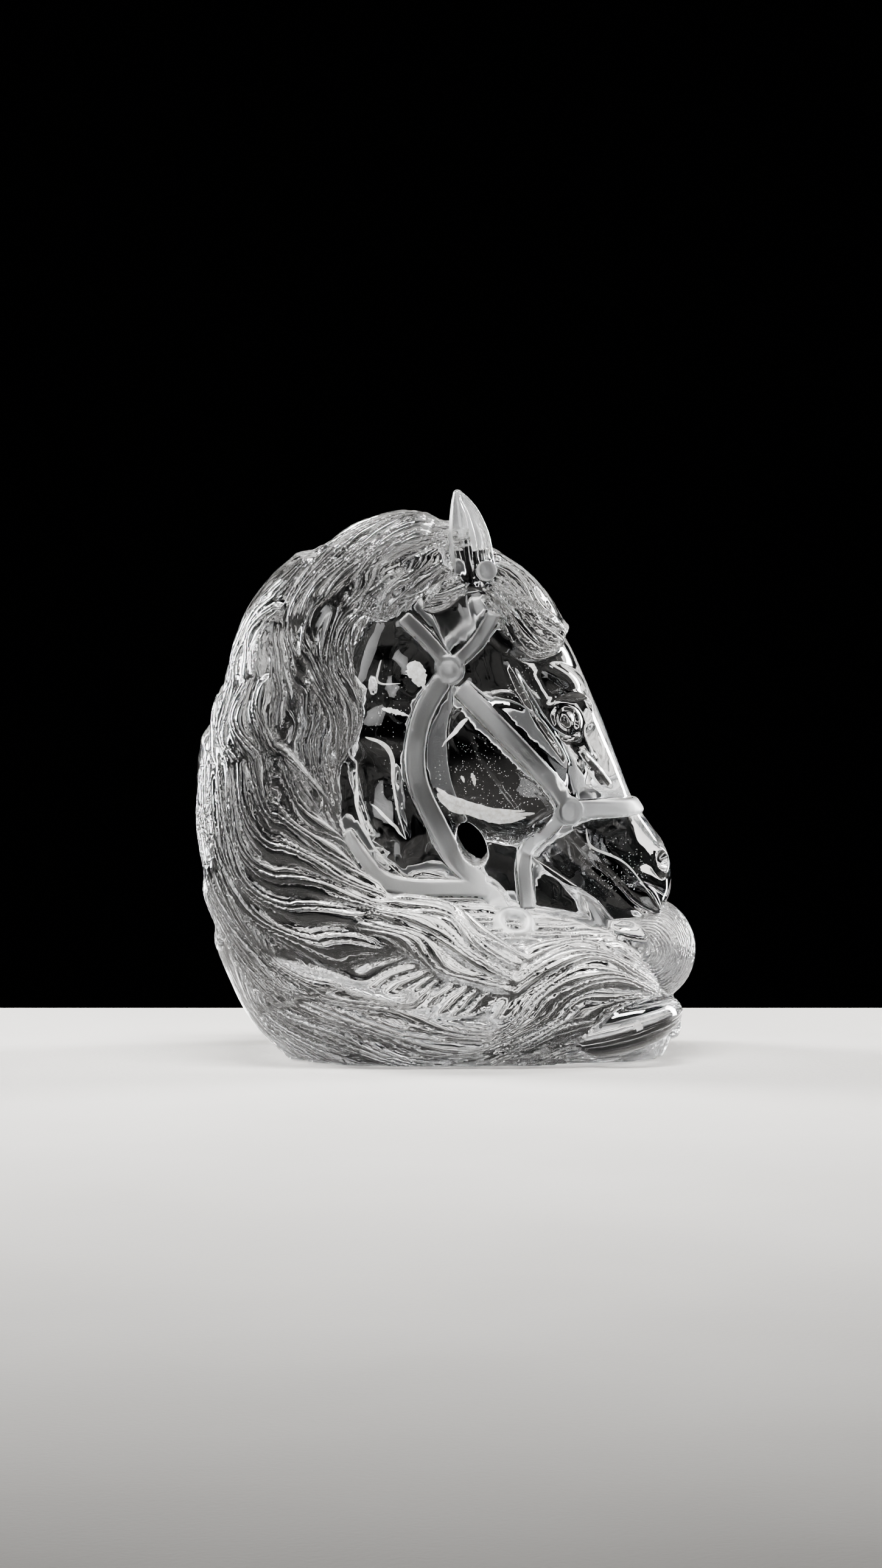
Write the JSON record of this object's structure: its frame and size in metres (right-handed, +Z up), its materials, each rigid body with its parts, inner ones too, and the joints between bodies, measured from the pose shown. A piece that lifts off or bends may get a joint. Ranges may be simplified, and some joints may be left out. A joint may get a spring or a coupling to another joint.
{
  "type": "horse head carving",
  "caption": "Horse head in bridle carved from clear rock crystal, its chin tucked and its long wavy mane swept round beneath it as the base.",
  "frame": {"origin": "middle of the bounding box's underside, on the surface that the carving stands on", "axes": "+Z up, +X the way the nose points, +Y from the near side of the face to the far side"},
  "size_m": [0.0802, 0.0446, 0.09],
  "materials": {
    "rock_crystal": "clear rock crystal, polished on face and neck, matt on the bridle, finely cut in the hair"
  },
  "bodies": {
    "root": {"quartz_horse_head": "rock_crystal"}
  },
  "joints": []
}
